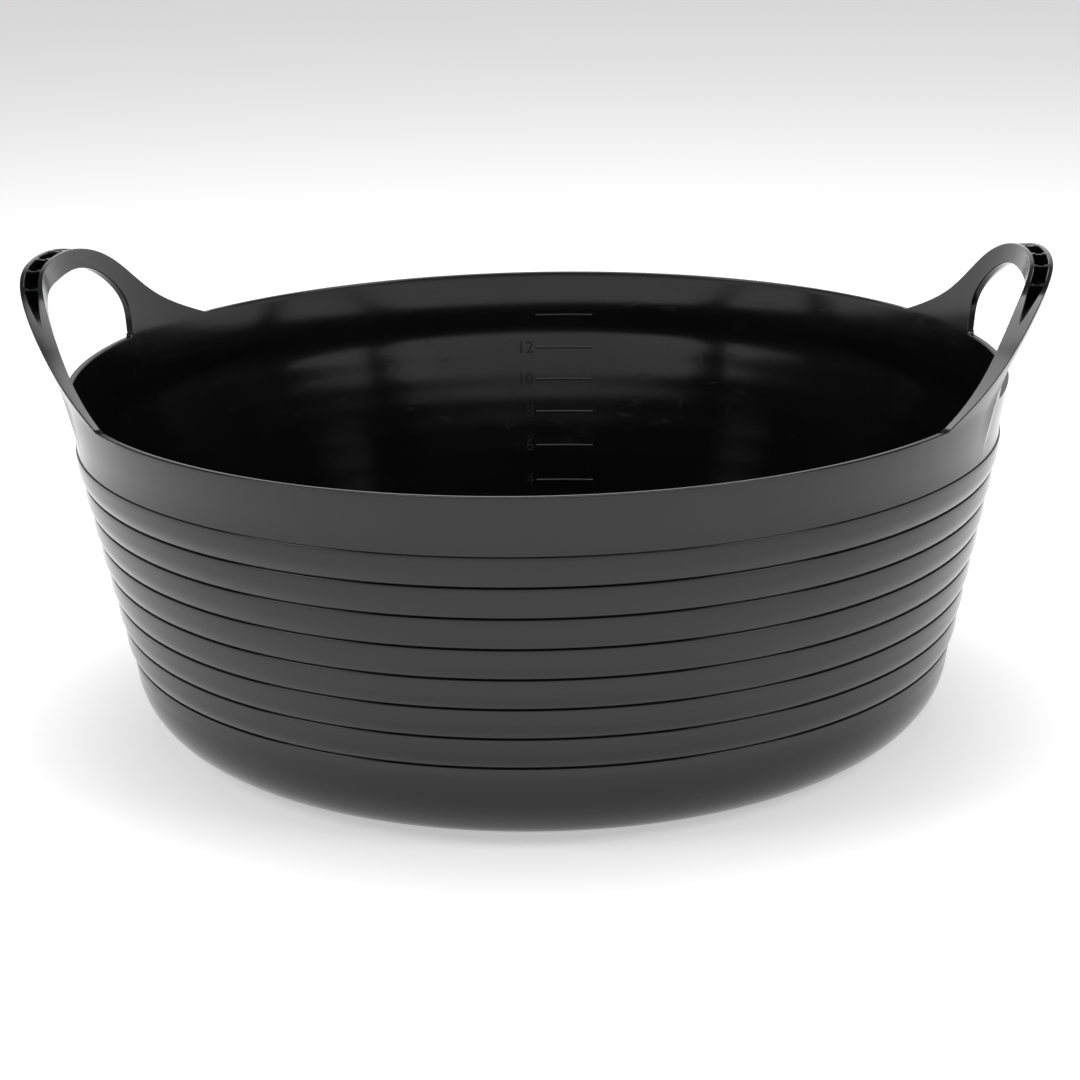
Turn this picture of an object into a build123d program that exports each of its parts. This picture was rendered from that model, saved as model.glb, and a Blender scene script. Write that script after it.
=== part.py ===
from build123d import *
import os
from math import pi, sin, sqrt

# Flexible mixing tub: a round stepped tub with two arched channel handles that flex at their roots.
# Millimetres, +Z up, origin on the floor at the centre of the tub, handles on +X and -X.

# ------------------------------------------------------------------ driving dimensions: tub
rim_radius = 210.0          # outside of the rim
tub_height = 157.0          # floor to rim
wall = 2.8                  # wall thickness everywhere in the tub
rim_bevel = 0.8             # bevel of the rim's two edges

rim_band_height = 24.5      # plain band under the rim
rim_band_straight = 15.0    # part of that band that is a straight taper
rim_straight_taper = 2.6    # radius lost over that straight part
rim_taper = 3.6             # radius lost from the rim to the first ledge

band_count = 7              # stepped bands between the rim band and the base
band_straight = 6.0         # upper, nearly straight part of each band
band_straight_taper = 0.4   # radius lost over that part
band_step = 2.7             # radius lost from one ledge to the next
ledge = 0.6                 # how far each ledge stands out from the band above it

base_height = 38.6          # floor to the lowest ledge
base_corner_radius = 32.0   # outside of the rounded base corner
corner_seam = 10.0          # height at which the corner ring meets the lower wall
base_taper = 1.5            # radius lost from the lowest ledge to the corner
foot_width = 16.0           # flat ring that the tub stands on
foot_recess = 1.0           # how far the floor is lifted inside that ring
recess_slope = 3.0          # width of the sloped edge of the lifted floor
gate_radius = 4.0           # moulding gate mark under the centre of the floor
gate_height = 0.6

# ------------------------------------------------------------------ driving dimensions: graduations
mark_height = 0.6           # how far marks stand out of the inner wall
mark_length = 30.0
mark_thickness = 1.6
first_litres = 4            # lowest marked volume, in litres
litres_step = 2             # volume between two marks, in litres
brim_line_drop = 22.0       # top line below the rim
mark_margin = 6.0           # marks stand this far above the level of their volume
digit_width = 5.4
digit_height = 8.6
digit_stroke = 1.1
digit_gap = 1.2             # between digits, and between the digits and the line

# ------------------------------------------------------------------ driving dimensions: handles
handle_height = 50.0        # rim to the top of the arch
handle_half_span = 115.0    # from the middle of a handle to where its edge leaves the rim
hole_half_width = 62.0      # hand hole, at the rim
hole_bulge = 3.0            # extra half width of the hand hole a little above the rim
hole_drop = 3.6             # hand hole's lower edge below the rim
grip_height = 9.5           # face of the grip at the top of the arch
handle_lean = 0.2           # outward lean of the handle, as on the tub's wall
grip_depth = 11.2           # inner face to outer face at the top of the arch
flange_bulge = 2.9          # how far the outer face bows out of a straight cone at mid height
flange = 2.5                # thickness of the inner and outer flanges
web = 2.5                   # thickness of the web that lines the hand hole
rib_thickness = 1.2
rib_pitch = 22.5            # between ribs, along the arch
ribs_each_side = 2          # ribs on each side of the middle one
open_channel = 72.0         # open channel, along the arch from its middle
root_margin = 3.3           # hinge cylinder beyond the ends of a root
flex_gap = 0.3              # between the handle and its roots, all through the flexing

# ------------------------------------------------------------------ derived sizes
band_pitch = (tub_height - rim_band_height - base_height) / band_count
base_top_radius = rim_radius - rim_taper - band_count * band_step
foot_radius = base_top_radius - base_taper - base_corner_radius
rim_inner_radius = rim_radius - wall
hole_bottom = tub_height - hole_drop
notch_x = sqrt(rim_radius**2 - handle_half_span**2)
hole_corner_x = sqrt(rim_radius**2 - hole_half_width**2)
hinge_x = (notch_x + hole_corner_x) / 2
hinge_radius = (hole_corner_x - notch_x) / 2 + root_margin
handle_sector = 100.0       # degrees of arc swept for one handle's shells, more than its span
handle_reach = rim_radius + handle_height + grip_depth   # beyond the handle on X

os.makedirs("parts", exist_ok=True)


def save(shape, name):
    """Writes one node."""
    export_step(shape, f"parts/{name}.step")


def ridge_radius(index):
    """Outside radius just below ledge number index, counted down from the rim band."""
    return rim_radius - rim_taper - index * band_step


def ledge_height(index):
    """Height of ledge number index above the floor."""
    return tub_height - rim_band_height - index * band_pitch


def band_side(top, knee, bottom, inset):
    """One side of a band: a straight taper, then an arc that tucks in, moved inwards by inset."""
    top, knee, bottom = [(r - inset, z) for r, z in (top, knee, bottom)]
    straight = (knee[0] - top[0], knee[1] - top[1])
    return Line(top, knee) + TangentArc(knee, bottom, tangent=straight)


def band_face(points, outer_inset, inner_inset):
    """Closed radial section between two insets of a band's outline, in the XZ plane."""
    ends = [(r - inset, z) for r, z in (points[0], points[2]) for inset in (outer_inset, inner_inset)]
    outline = band_side(*points, outer_inset) + band_side(*points, inner_inset)
    outline += Line(ends[0], ends[1]) + Line(ends[2], ends[3])
    return Plane.XZ * make_face(outline)


def spin(face):
    """Solid of revolution about the tub's axis, with its seam at the front, away from cuts and marks."""
    return revolve(Rot(0, 0, -90) * face, axis=Axis.Z, revolution_arc=360)


def rim_points():
    """Outline of the rim band, top to bottom."""
    knee = (rim_radius - rim_straight_taper, tub_height - rim_band_straight)
    return (rim_radius, tub_height), knee, (ridge_radius(0) - ledge, ledge_height(0))


def band_points(index):
    """Outline of stepped band number index (1 is the highest), top to bottom."""
    top = (ridge_radius(index - 1), ledge_height(index - 1))
    knee = (top[0] - band_straight_taper, top[1] - band_straight)
    return top, knee, (ridge_radius(index) - ledge, ledge_height(index))


# ------------------------------------------------------------------ tub
def rim_band():
    """Plain band with bevelled rim edges, lowered under both hand holes."""
    section = band_face(rim_points(), 0, wall)
    section = chamfer(section.vertices().group_by(Axis.Z)[-1], rim_bevel)
    lowered = Box(2 * handle_reach, 2 * hole_half_width, 2 * hole_drop)
    return spin(section) - Pos(0, 0, tub_height) * lowered


def base_side():
    """Rounded ring between the floor and the lowest ledge, in two pieces: corner and lower wall."""
    corner_x = base_top_radius - base_taper
    arc_end = base_corner_radius * sin(pi / 4)
    inner_radius = base_corner_radius - wall
    inner_end = inner_radius * sin(pi / 4)
    outline = Line((base_top_radius, base_height), (corner_x, base_corner_radius))
    outline += ThreePointArc(
        (corner_x, base_corner_radius),
        (foot_radius + arc_end, base_corner_radius - arc_end),
        (foot_radius, 0),
    )
    outline += Line((foot_radius, 0), (foot_radius, wall))
    outline += ThreePointArc(
        (foot_radius, wall),
        (foot_radius + inner_end, base_corner_radius - inner_end),
        (corner_x - wall, base_corner_radius),
    )
    outline += Line((corner_x - wall, base_corner_radius), (base_top_radius - wall, base_height))
    outline += Line((base_top_radius - wall, base_height), (base_top_radius, base_height))
    ring = spin(Plane.XZ * make_face(outline))
    above = Pos(0, 0, corner_seam) * Box(
        2 * rim_radius, 2 * rim_radius, tub_height, align=(Align.CENTER, Align.CENTER, Align.MIN)
    )
    return ring - above, ring & above


def floor_disc():
    """Floor with a foot ring: inside the ring the whole floor is lifted by foot_recess."""
    ring_inside = foot_radius - foot_width
    lifted = ring_inside - recess_slope
    outline = Polyline(
        (0, foot_recess),
        (lifted, foot_recess),
        (ring_inside, 0),
        (foot_radius, 0),
        (foot_radius, wall),
        (ring_inside, wall),
        (lifted, wall + foot_recess),
        (0, wall + foot_recess),
        close=True,
    )
    return spin(Plane.XZ * make_face(outline))


def gate_mark():
    """Low round mark that the moulding gate leaves under the floor."""
    base = Pos(0, 0, foot_recess - gate_height / 2)
    return base * Cylinder(gate_radius, gate_height)


# ------------------------------------------------------------------ graduations
def inner_radius_at(height):
    """Inside radius of the tub at a height, taken straight between the outline's points."""
    floor_top = wall + foot_recess
    points = [(foot_radius, floor_top), (base_top_radius - base_taper - wall, base_corner_radius)]
    for index in range(band_count, 0, -1):
        top, knee, bottom = band_points(index)
        points += [(bottom[0] - wall, bottom[1]), (knee[0] - wall, knee[1])]
    points += [(r - wall, z) for r, z in reversed(rim_points())]
    for (r0, z0), (r1, z1) in zip(points[1:], points[2:]):
        if z0 <= height <= z1:
            return r0 + (r1 - r0) * (height - z0) / (z1 - z0)
    corner = base_corner_radius - wall
    depth = max(base_corner_radius - height, 0)
    return foot_radius + sqrt(max(corner**2 - depth**2, 0))


def fill_levels():
    """Height of each marked volume: a litre is a million cubic millimetres."""
    litre = 1.0e6
    slice_height = 0.25
    levels = {}
    height = wall + foot_recess
    volume = 0.0
    wanted = first_litres
    highest = tub_height - brim_line_drop - digit_height - mark_margin
    while height < highest:
        volume += pi * inner_radius_at(height) ** 2 * slice_height
        height += slice_height
        if volume >= wanted * litre:
            levels[wanted] = height + mark_margin
            wanted += litres_step
    return levels


def inner_lining():
    """Thin skin on the inside of the bands: raised marks are cut out of it."""
    skins = [spin(band_face(rim_points(), wall, wall + mark_height))]
    for index in range(1, band_count + 1):
        skins.append(spin(band_face(band_points(index), wall, wall + mark_height)))
    return skins


def mark_block(width, height, x, z):
    """Block through the back wall, used to cut one stroke of a mark out of the lining."""
    return Pos(x, rim_radius * 0.75, z) * Box(width, rim_radius * 0.6, height)


def digit_blocks(digit, left, middle):
    """Strokes of one numeral, on the seven bars of a numeric display."""
    lit = {"0": "abcdef", "1": "bc", "2": "abged", "3": "abgcd", "4": "fgbc",
           "5": "afgcd", "6": "afgedc", "7": "abc", "8": "abcdefg", "9": "abcdfg"}[digit]
    half = (digit_height - digit_stroke) / 2
    x0 = left + digit_stroke / 2
    x1 = left + digit_width - digit_stroke / 2
    centre = (x0 + x1) / 2
    flat = {"a": middle + half, "g": middle, "d": middle - half}
    upright = {"f": (x0, half / 2), "b": (x1, half / 2), "e": (x0, -half / 2), "c": (x1, -half / 2)}
    blocks = []
    for bar in lit:
        if bar in flat:
            blocks.append(mark_block(digit_width, digit_stroke, centre, flat[bar]))
        else:
            x, lift = upright[bar]
            blocks.append(mark_block(digit_stroke, half + digit_stroke, x, middle + lift))
    return blocks


def cut_from_lining(blocks, skins):
    """Solids of the lining that lie inside any of the blocks, one group."""
    tool = blocks[0]
    for block in blocks[1:]:
        tool += block
    reach = tool.bounding_box()
    cuts = []
    for skin in skins:
        span = skin.bounding_box()
        if span.min.Z < reach.max.Z and span.max.Z > reach.min.Z:
            cuts += (skin & tool).solids()
    return cuts


def graduations():
    """Lines and numerals on the back wall."""
    skins = inner_lining()
    levels = fill_levels()
    lines = []
    numerals = []
    for height in [*levels.values(), tub_height - brim_line_drop]:
        lines += cut_from_lining([mark_block(mark_length, mark_thickness, 0, height)], skins)
    for litres, height in levels.items():
        right = -mark_length / 2 - digit_gap
        for digit in reversed(str(litres)):
            numerals += cut_from_lining(digit_blocks(digit, right - digit_width, height), skins)
            right -= digit_width + digit_gap
    return Compound(lines), Compound(numerals)


# ------------------------------------------------------------------ handle on +X
def inner_face_radius(rise):
    """Radius of the handle's inner face at a rise above the rim."""
    return rim_inner_radius + handle_lean * rise


def shell(inner_side, outer_side):
    """Sector of revolution between two radial sides, each a list of (radius, rise) points."""
    edges = []
    for side in (inner_side, outer_side):
        points = [(radius, tub_height + rise) for radius, rise in side]
        edges.append(Line(*points) if len(points) == 2 else ThreePointArc(*points))
    outline = edges[0] + edges[1]
    outline += Line(edges[0] @ 0, edges[1] @ 0) + Line(edges[0] @ 1, edges[1] @ 1)
    face = Rot(0, 0, -handle_sector / 2) * (Plane.XZ * make_face(outline))
    return revolve(face, axis=Axis.Z, revolution_arc=handle_sector)


def face_line(inset):
    """The handle's inner face, moved outwards by inset, from the rim past the top of the arch."""
    top = handle_height + root_margin
    return [(inner_face_radius(0) + inset, 0), (inner_face_radius(top) + inset, top)]


def bowed_line(inset):
    """The handle's outer face, moved inwards by inset: from the rim's outside, bowed outwards."""
    top = handle_height + root_margin
    reach = inner_face_radius(top) + grip_depth
    middle = (rim_radius + reach) / 2 + flange_bulge
    return [(rim_radius - inset, 0), (middle - inset, top / 2), (reach - inset, top)]


def arch_edge():
    """Upper edge of the handle in the YZ plane, from the middle of the arch to the rim."""
    shoulder = (0.56 * handle_half_span, tub_height + 0.73 * handle_height)
    flank = (0.75 * handle_half_span, tub_height + 0.34 * handle_height)
    start = (0, tub_height + handle_height)
    end = (handle_half_span, tub_height)
    return Spline(start, shoulder, flank, end, tangents=[(1, 0), (1, -0.5)])


def hole_edge(inset):
    """Upper edge of the hand hole in the YZ plane, from its middle to its side, spread by inset."""
    top = handle_height - grip_height
    start = (0, tub_height + top + inset)
    shoulder = (0.84 * hole_half_width + inset, tub_height + 0.78 * top)
    side = (hole_half_width + hole_bulge + inset, tub_height + 0.34 * top)
    end = (hole_half_width + inset, tub_height)
    return Spline(start, shoulder, side, end, tangents=[(1, 0), (-0.2, -1)])


def arch_block(edge, bottom):
    """Block along X whose section is everything under an edge and its mirror image, down to bottom."""
    left = mirror(edge, Plane.YZ)
    low_left = (-(edge @ 1).X, bottom)
    low_right = ((edge @ 1).X, bottom)
    outline = edge + left + Line(edge @ 1, low_right) + Line(low_right, low_left)
    outline += Line(low_left, left @ 1)
    return extrude(Plane.YZ * make_face(outline), amount=handle_reach)


def flat_arch_block(edge):
    """The same block, ending at the rim plane."""
    outline = edge + mirror(edge, Plane.YZ) + Line(edge @ 1, (-(edge @ 1).X, (edge @ 1).Y))
    return extrude(Plane.YZ * make_face(outline), amount=handle_reach)


def cross_plate(distance, side, thickness):
    """Plate across the channel, square to the arch's upper edge at a distance along it from its middle.

    Side is +1 or -1, for the half of the arch on +Y or -Y."""
    edge = arch_edge()
    at = edge.position_at(distance, position_mode=PositionMode.LENGTH)
    way = edge.tangent_at(distance, position_mode=PositionMode.LENGTH)
    tilt = way.get_angle(Vector(1, 0, 0))
    plate = Rot(-side * tilt, 0, 0) * Box(2 * handle_reach, thickness, 2 * handle_height)
    return Pos(0, side * at.X, at.Y) * plate


def handle_parts():
    """Every piece of the handle on +X, and the two roots that stay with the tub."""
    arch = flat_arch_block(arch_edge()) - arch_block(hole_edge(0), hole_bottom)
    inner_layer = shell(face_line(0), face_line(flange))
    outer_layer = shell(bowed_line(flange), bowed_line(0)) - inner_layer
    whole = shell(face_line(0), bowed_line(0)) & arch
    hinge = Pos(hinge_x, 0, tub_height) * Rot(90, 0, 0) * Cylinder(hinge_radius, 2 * handle_reach)
    freed = Pos(hinge_x, 0, tub_height) * Rot(90, 0, 0)
    freed *= Cylinder(hinge_radius + flex_gap, 2 * handle_reach)
    roots = whole & hinge
    handle = whole - freed
    inner_flange = handle & inner_layer
    outer_flange = handle & outer_layer
    core = handle - inner_layer - outer_layer
    lining = arch_block(hole_edge(web), hole_bottom)
    grip_web = core & lining
    channel = core - lining
    ribs = []
    for index in range(-ribs_each_side, ribs_each_side + 1):
        side = 1 if index >= 0 else -1
        ribs += (channel & cross_plate(abs(index) * rib_pitch, side, rib_thickness)).solids()
    legs = []
    for side in (1, -1):
        past_channel = cross_plate(open_channel + handle_height / 2, side, handle_height)
        legs += (channel & past_channel).solids()
    return {
        "inner_flange": inner_flange,
        "outer_flange": outer_flange,
        "grip_web": grip_web,
        "ribs": Compound(ribs),
        "leg_cores": Compound(legs),
        "roots": roots,
    }


def main():
    save(rim_band(), "rim_band")
    for index in range(1, band_count + 1):
        save(spin(band_face(band_points(index), 0, wall)), f"wall_band_{index}")
    corner, lower_wall = base_side()
    save(corner, "base_corner")
    save(lower_wall, "lower_wall")
    save(floor_disc(), "floor_disc")
    save(gate_mark(), "gate_mark")
    lines, numerals = graduations()
    save(lines, "graduation_lines")
    save(numerals, "graduation_numerals")
    for name, shape in handle_parts().items():
        save(shape, f"right_handle_{name}")
        save(mirror(shape, Plane.YZ), f"left_handle_{name}")


main()
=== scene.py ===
import math

import bmesh
import bpy
import numpy as np
from mathutils import Matrix, Vector


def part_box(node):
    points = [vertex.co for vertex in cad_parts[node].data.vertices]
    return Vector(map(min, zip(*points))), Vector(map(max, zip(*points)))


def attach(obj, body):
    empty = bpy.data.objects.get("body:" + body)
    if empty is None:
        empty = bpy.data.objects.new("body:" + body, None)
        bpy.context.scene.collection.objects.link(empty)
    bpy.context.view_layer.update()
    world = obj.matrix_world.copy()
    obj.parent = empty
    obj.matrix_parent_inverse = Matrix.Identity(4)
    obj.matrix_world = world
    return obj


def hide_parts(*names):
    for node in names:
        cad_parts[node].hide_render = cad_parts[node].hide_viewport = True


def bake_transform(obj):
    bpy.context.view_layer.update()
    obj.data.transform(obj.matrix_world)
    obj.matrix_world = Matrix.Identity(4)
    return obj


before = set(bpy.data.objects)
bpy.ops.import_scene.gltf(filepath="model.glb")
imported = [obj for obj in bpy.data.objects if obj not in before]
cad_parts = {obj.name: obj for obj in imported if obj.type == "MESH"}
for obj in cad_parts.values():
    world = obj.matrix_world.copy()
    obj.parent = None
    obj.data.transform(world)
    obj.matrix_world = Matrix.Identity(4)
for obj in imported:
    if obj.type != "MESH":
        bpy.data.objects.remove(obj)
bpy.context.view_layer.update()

# A flexible mixing tub moulded in one black plastic: stepped wall, rounded base, two arched channel handles.
# Shapes are worked out in millimetres from the nodes' boxes, and every mesh is written in metres.

MM = 0.001


def box_mm(node):
    """Lowest and highest corner of a CAD node, in millimetres."""
    return [np.array(corner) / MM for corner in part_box(node)]


# ------------------------------------------------------------------ sizes taken from the frame, millimetres
BANDS = 7
rim_low, rim_high = box_mm("rim_band")
RIM_RADIUS = rim_high[0]
RIM_TOP = rim_high[2]
RIM_BOTTOM = rim_low[2]
band_boxes = [box_mm(f"wall_band_{number}") for number in range(1, BANDS + 1)]
LEDGE_Z = [high[2] for low, high in band_boxes] + [box_mm("lower_wall")[1][2]]
LEDGE_RADIUS = [high[0] for low, high in band_boxes] + [box_mm("lower_wall")[1][0]]
CORNER_SEAM = box_mm("lower_wall")[0][2]
FOOT_RADIUS = box_mm("floor_disc")[1][0]
FLOOR_TOP = box_mm("floor_disc")[1][2]
HANDLE_RISE = box_mm("right_handle_inner_flange")[1][2] - RIM_TOP
HANDLE_HALF_SPAN = box_mm("right_handle_roots")[1][1]
SADDLE_DROP = RIM_TOP - box_mm("right_handle_roots")[0][2]

# ------------------------------------------------------------------ sizes of the wall, millimetres
WALL = 2.8
LEDGE = 0.6                 # how far a ledge stands out from the band above it
LEDGE_ROUND = 0.5
BAND_STRAIGHT = 6.0
BAND_TAPER = 0.4
RIM_STRAIGHT = 15.0
RIM_TAPER = 2.6
EDGE = 0.45                 # rounding of the rim's and the handles' edges
BASE_STRAIGHT_TO = 32.0     # height where the base's rounded corner starts, also its radius
INNER_SOFTNESS = 5.5        # how far the inside blurs the outside's steps
FOOT_WIDTH = 16.0
RECESS_SLOPE = 3.0
RECESS = FLOOR_TOP - WALL
LATHE_STEPS = 240
SECTOR_STEPS = 26           # lathe steps from the middle of a handle to the end of its rim section
RIM_ROWS = 12

# ------------------------------------------------------------------ sizes of the handles, millimetres
HOLE_HALF_WIDTH = 62.0
HOLE_BULGE = 3.0
HOLE_CORNER = 2.0           # rounding of the hand hole's lower corners
GRIP_HEIGHT = 9.5
HANDLE_LEAN = 0.2
HANDLE_SWELL = 8.4          # thickness that the handle gains over the wall
SWELL_RISE = 29.0           # rise over which it gains most of that
SWELL_BLEND = 2.5           # how softly the swelling starts at the rim
FLARE_TOP = 2.3             # hand hole's outer edge beyond its inner edge, at the top of the arch
FLARE_RIM = 12.0            # the same at the rim
RIDGE_HEIGHT = 0.8          # ridge that carries the leg's edge on down the wall
RIDGE_DROP = 23.0
CHANNEL_WIDTH = 6.0
CHANNEL_DEPTH = 7.0
CHANNEL_LIP = 0.3
RIB_DEPTH = 0.5             # ribs stop this far below the flanges' edges
RIB_HALF = 0.7
RIB_DRAFT = 0.2
RIB_PITCH = 22.5
POCKET_CORNER = 1.6
POCKETS = 2                 # rectangular pockets on each side of the middle rib
CHANNEL_END = 72.0          # tip of the last, tapering pocket, along the arch from its middle
STATION_GAP = 3.6


# ------------------------------------------------------------------ mesh building
class Skin:
    """Patches of quads that weld where their points meet."""

    def __init__(self):
        self.points = []
        self.index = {}
        self.faces = []
        self.normals = {}

    def vertex(self, point):
        key = tuple(round(float(c), 3) + 0.0 for c in point)
        if key not in self.index:
            self.index[key] = len(self.points)
            self.points.append([float(c) * MM for c in point])
        return self.index[key]

    def face(self, corners, normals=None):
        """Adds one face, leaving out corners that have welded together."""
        kept = [k for k in range(len(corners)) if corners[k] != corners[k - 1]]
        loop = [corners[k] for k in kept]
        if len(loop) < 3 or len(set(loop)) < len(loop):
            return
        if normals:
            for k in kept:
                self.normals[len(self.faces), corners[k]] = normals[k]
        self.faces.append(loop)

    def patch(self, rows, normals=None):
        """Quads between neighbouring rows of points."""
        ids = [[self.vertex(point) for point in row] for row in rows]
        for a in range(len(ids) - 1):
            for b in range(len(ids[a]) - 1):
                spots = [(a, b), (a + 1, b), (a + 1, b + 1), (a, b + 1)]
                given = [normals[i][j] for i, j in spots] if normals else None
                self.face([ids[i][j] for i, j in spots], given)

    def build(self, name, split=38.0, seams=()):
        """Makes the object. Corners with no stated normal get one averaged by area, split at sharp angles.

        Seams are tests of a point: there the normal loses its part around the tub's axis."""
        mesh = bpy.data.meshes.new(name)
        mesh.from_pydata(self.points, [], self.faces)
        grown = bmesh.new()
        grown.from_mesh(mesh)
        bmesh.ops.recalc_face_normals(grown, faces=grown.faces[:])
        grown.to_mesh(mesh)
        grown.free()
        mesh.polygons.foreach_set("use_smooth", [True] * len(mesh.polygons))
        mesh.normals_split_custom_set(self.corner_normals(mesh, math.cos(math.radians(split)), seams))
        piece = bpy.data.objects.new(name, mesh)
        bpy.context.scene.collection.objects.link(piece)
        return piece

    def corner_normals(self, mesh, limit, seams):
        around = {}
        for polygon in mesh.polygons:
            for vertex in polygon.vertices:
                around.setdefault(vertex, []).append((np.array(polygon.normal), polygon.area))
        result = []
        for polygon in mesh.polygons:
            own = np.array(polygon.normal)
            for vertex in polygon.vertices:
                stated = self.normals.get((polygon.index, vertex))
                if stated is None:
                    total = sum(normal * area for normal, area in around[vertex] if normal @ own >= limit)
                    stated = total / max(np.linalg.norm(total), 1e-12)
                    point = self.points[vertex]
                    if any(test(point) for test in seams):
                        tangent = np.array([-point[1], point[0], 0]) / math.hypot(point[0], point[1])
                        stated = stated - (stated @ tangent) * tangent
                        stated = stated / max(np.linalg.norm(stated), 1e-12)
                result.append(stated)
        return result


# ------------------------------------------------------------------ outlines in (radius, height)
def tangent_arc(start, way, end, steps):
    """Points of the arc that leaves start along way and reaches end."""
    start, way, end = (np.array(p, float) for p in (start, way, end))
    side = np.array([-way[1], way[0]]) / np.hypot(*way)
    chord = end - start
    radius = chord @ chord / (2 * chord @ side)
    centre = start + side * radius
    first = math.atan2(*(start - centre)[::-1])
    turn = (math.atan2(*(end - centre)[::-1]) - first + math.pi) % (2 * math.pi) - math.pi
    angles = first + turn * np.linspace(0, 1, steps + 1)
    return [centre + abs(radius) * np.array([math.cos(a), math.sin(a)]) for a in angles]


def quarter_arc(centre, radius, first, last, steps):
    """Points of an arc from one angle to another, in degrees."""
    angles = np.radians(np.linspace(first, last, steps + 1))
    return [np.array([centre[0] + radius * math.cos(a), centre[1] + radius * math.sin(a)]) for a in angles]


def bend(start, corner, end, steps=4):
    """Rounded corner from start to end: a quadratic curve pulled towards the corner."""
    start, corner, end = (np.array(p, float) for p in (start, corner, end))
    shares = np.linspace(0, 1, steps + 1)
    return [start * (1 - t) ** 2 + corner * 2 * t * (1 - t) + end * t * t for t in shares]


def rim_side():
    """Outside of the rim band from the rim down."""
    knee = (RIM_RADIUS - RIM_TAPER, RIM_TOP - RIM_STRAIGHT)
    way = (-RIM_TAPER, -RIM_STRAIGHT)
    arc = tangent_arc(knee, way, (LEDGE_RADIUS[0] - LEDGE, LEDGE_Z[0]), 10)
    return [np.array([RIM_RADIUS, RIM_TOP])] + arc


def band_side(number):
    """Outside of one band, from its ledge down to the next one's inner corner."""
    radius, height = LEDGE_RADIUS[number], LEDGE_Z[number]
    knee = (radius - BAND_TAPER, height - BAND_STRAIGHT)
    way = (-BAND_TAPER, -BAND_STRAIGHT)
    end = (LEDGE_RADIUS[number + 1] - LEDGE, LEDGE_Z[number + 1])
    side = [np.array([radius - LEDGE, height])]
    side += bend((radius - LEDGE_ROUND, height), (radius, height), (radius, height - LEDGE_ROUND))
    side += [np.array([radius - BAND_TAPER / 2, height - BAND_STRAIGHT / 2])]
    return side + tangent_arc(knee, way, end, 9)


def base_side():
    """Outside of the base, from the lowest ledge to the middle of the floor."""
    radius, height = LEDGE_RADIUS[-1], LEDGE_Z[-1]
    side = [np.array([radius - LEDGE, height])]
    side += bend((radius - LEDGE_ROUND, height), (radius, height), (radius, height - LEDGE_ROUND))
    seam = math.degrees(math.asin((BASE_STRAIGHT_TO - CORNER_SEAM) / BASE_STRAIGHT_TO))
    centre = (FOOT_RADIUS, BASE_STRAIGHT_TO)
    side += quarter_arc(centre, BASE_STRAIGHT_TO, 0, -seam, 10)
    side += quarter_arc(centre, BASE_STRAIGHT_TO, -seam, -90, 10)[1:]
    inside = FOOT_RADIUS - FOOT_WIDTH
    step = 1.2
    foot = (inside, 0)
    lifted = (inside - RECESS_SLOPE, RECESS)
    side += bend((inside + step, 0), foot, (inside - step, RECESS * step / RECESS_SLOPE))
    side += bend((lifted[0] + step, RECESS * (1 - step / RECESS_SLOPE)), lifted, (lifted[0] - step, RECESS))
    return side + [np.array([r, RECESS]) for r in (90, 45, 0)]


def soft_inside():
    """Inside of the stepped wall as heights and radii: the outside, blurred, less the wall."""
    gap = 0.2
    heights = np.arange(BASE_STRAIGHT_TO - 12, RIM_TOP + 12, gap)
    outline = list(reversed(rim_side()))
    for number in range(BANDS):
        outline = list(reversed(band_side(number)[1:])) + outline
    below = quarter_arc((FOOT_RADIUS, BASE_STRAIGHT_TO), BASE_STRAIGHT_TO, -60, 0, 12)
    above = [np.array([RIM_RADIUS + 2 * RIM_TAPER, RIM_TOP + 2 * RIM_STRAIGHT])]
    outline = np.array(below + outline + above)
    order = np.argsort(outline[:, 1], kind="stable")
    radii = np.interp(heights, outline[order, 1], outline[order, 0])
    reach = np.arange(-4 * INNER_SOFTNESS, 4 * INNER_SOFTNESS + gap, gap)
    weights = np.exp(-0.5 * (reach / INNER_SOFTNESS) ** 2)
    blurred = np.convolve(np.pad(radii, len(reach) // 2, mode="edge"), weights / weights.sum(), "valid")
    return heights, blurred[: len(heights)] - WALL


SOFT_HEIGHTS, SOFT_RADII = soft_inside()
OUTER_RIM = np.array(list(reversed(rim_side())))


def inner_radius(height):
    """Radius of the tub's inside, and of the handles' inner face above the rim."""
    lean = HANDLE_LEAN * max(height - RIM_TOP, 0)
    return float(np.interp(min(height, RIM_TOP), SOFT_HEIGHTS, SOFT_RADII)) + lean


def outer_radius(height):
    """Radius of the rim band's outside, and a wall's thickness outside the inner face above the rim."""
    if height > RIM_TOP:
        return inner_radius(height) + WALL
    return float(np.interp(height, OUTER_RIM[:, 1], OUTER_RIM[:, 0]))


def inside_run(low, high, steps):
    """Inside of the wall between two heights, going up, with its normals."""
    heights = np.linspace(low, high, steps + 1)
    points = [np.array([inner_radius(z), z]) for z in heights]
    slopes = [(inner_radius(z + 0.3) - inner_radius(z - 0.3)) / 0.6 for z in heights]
    return points, [np.array([-1, slope]) / math.hypot(1, slope) for slope in slopes]


def smooth_run(points):
    """Points with normals averaged between the pieces of the line on both sides."""
    points = [np.array(p, float) for p in points]
    ways = [b - a for a, b in zip(points, points[1:])]
    tangents = [ways[0] / np.hypot(*ways[0])]
    for before, after in zip(ways, ways[1:]):
        mixed = before / (before @ before) + after / (after @ after)
        tangents.append(mixed / np.hypot(*mixed))
    tangents.append(ways[-1] / np.hypot(*ways[-1]))
    return points, [np.array([-t[1], t[0]]) for t in tangents]


def part_of(run, first, last):
    """The stretch of a run between two of its points, with its normals."""
    return run[0][first : last + 1], run[1][first : last + 1]


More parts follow.
